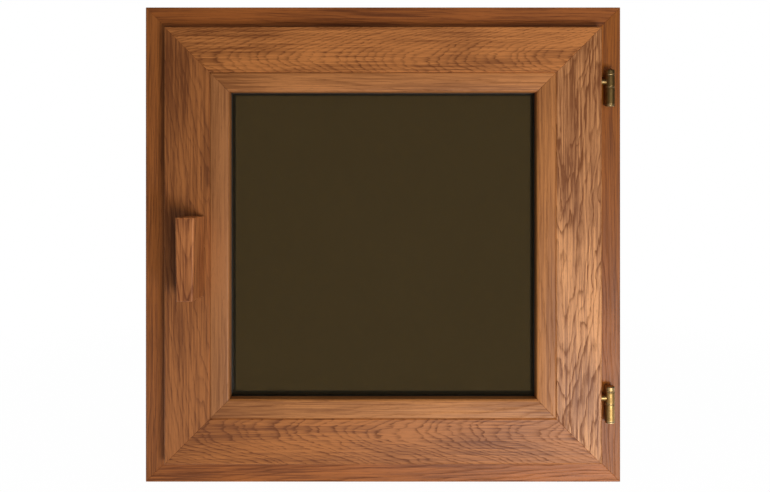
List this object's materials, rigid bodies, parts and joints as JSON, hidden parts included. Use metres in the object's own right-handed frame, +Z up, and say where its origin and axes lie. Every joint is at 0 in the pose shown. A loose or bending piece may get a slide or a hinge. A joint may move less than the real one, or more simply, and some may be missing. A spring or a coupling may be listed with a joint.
{
  "type": "casement window",
  "caption": "Side-hung timber window with a mitred frame, a lipped double-glazed sash on barrel hinges and a wooden turn handle.",
  "frame": {"origin": "middle of the sill's bottom face, at half the frame's depth", "axes": "+X towards the hinges, -Y towards the room that the sash opens into, +Z up"},
  "size_m": [0.5, 0.128, 0.5],
  "materials": {
    "frame_timber": "oiled",
    "sash_timber": "oiled",
    "bead_timber": "oiled",
    "handle_timber": "oiled",
    "dowel_timber": "bare",
    "weatherseal": "matte",
    "glazing_gasket": "matte",
    "edge_sealant": "matte",
    "bronze_glass": "polished, bronze tint",
    "spacer_metal": "dark anodised",
    "packer_plastic": "moulded",
    "aged_brass": "aged",
    "bush_brass": "turned",
    "zinc_steel": "zinc plated"
  },
  "bodies": {
    "frame": {"frame_corner_dowels": "dowel_timber", "frame_head": "frame_timber", "frame_hinge_jamb": "frame_timber", "frame_latch_jamb": "frame_timber", "frame_seal_bottom": "weatherseal", "frame_seal_left": "weatherseal", "frame_seal_right": "weatherseal", "frame_seal_top": "weatherseal", "frame_sill": "frame_timber", "keep_plate": "zinc_steel", "keep_screws": "zinc_steel", "lower_hinge_end_cap": "aged_brass", "lower_hinge_frame_knuckle": "aged_brass", "lower_hinge_pin": "aged_brass", "lower_hinge_washer": "aged_brass", "upper_hinge_end_cap": "aged_brass", "upper_hinge_frame_knuckle": "aged_brass", "upper_hinge_pin": "aged_brass", "upper_hinge_washer": "aged_brass"},
    "sash": {"bead_bottom": "bead_timber", "bead_hinge_side": "bead_timber", "bead_latch_side": "bead_timber", "bead_pins": "zinc_steel", "bead_top": "bead_timber", "handle_bush": "bush_brass", "latch_case": "zinc_steel", "latch_edge_plate": "zinc_steel", "latch_screws": "zinc_steel", "lower_hinge_sash_knuckle": "aged_brass", "lower_hinge_top_cap": "aged_brass", "outer_gasket": "glazing_gasket", "outer_pane": "bronze_glass", "pane_edge_seal": "edge_sealant", "pane_spacer": "spacer_metal", "room_gasket": "glazing_gasket", "room_pane": "bronze_glass", "sash_bottom_rail": "sash_timber", "sash_corner_dowels": "dowel_timber", "sash_hinge_stile": "sash_timber", "sash_latch_stile": "sash_timber", "sash_top_rail": "sash_timber", "setting_blocks": "packer_plastic", "upper_hinge_sash_knuckle": "aged_brass", "upper_hinge_top_cap": "aged_brass"},
    "handle": {"handle_collar": "bush_brass", "handle_grip": "handle_timber", "handle_grub_screw": "zinc_steel", "handle_spindle": "zinc_steel", "latch_tongue": "zinc_steel"}
  },
  "joints": [
    {"name": "sash_swing", "type": "hinge", "parent": "frame", "child": "sash", "pos_m": [0.2368, -0.04275, 0.25], "axis": [0, 0, 1], "range_deg": [0, 170]},
    {"name": "handle_turn", "type": "hinge", "parent": "sash", "child": "handle", "pos_m": [-0.196, -0.0515, 0.25], "axis": [0, 1, 0], "range_deg": [0, 90]}
  ]
}
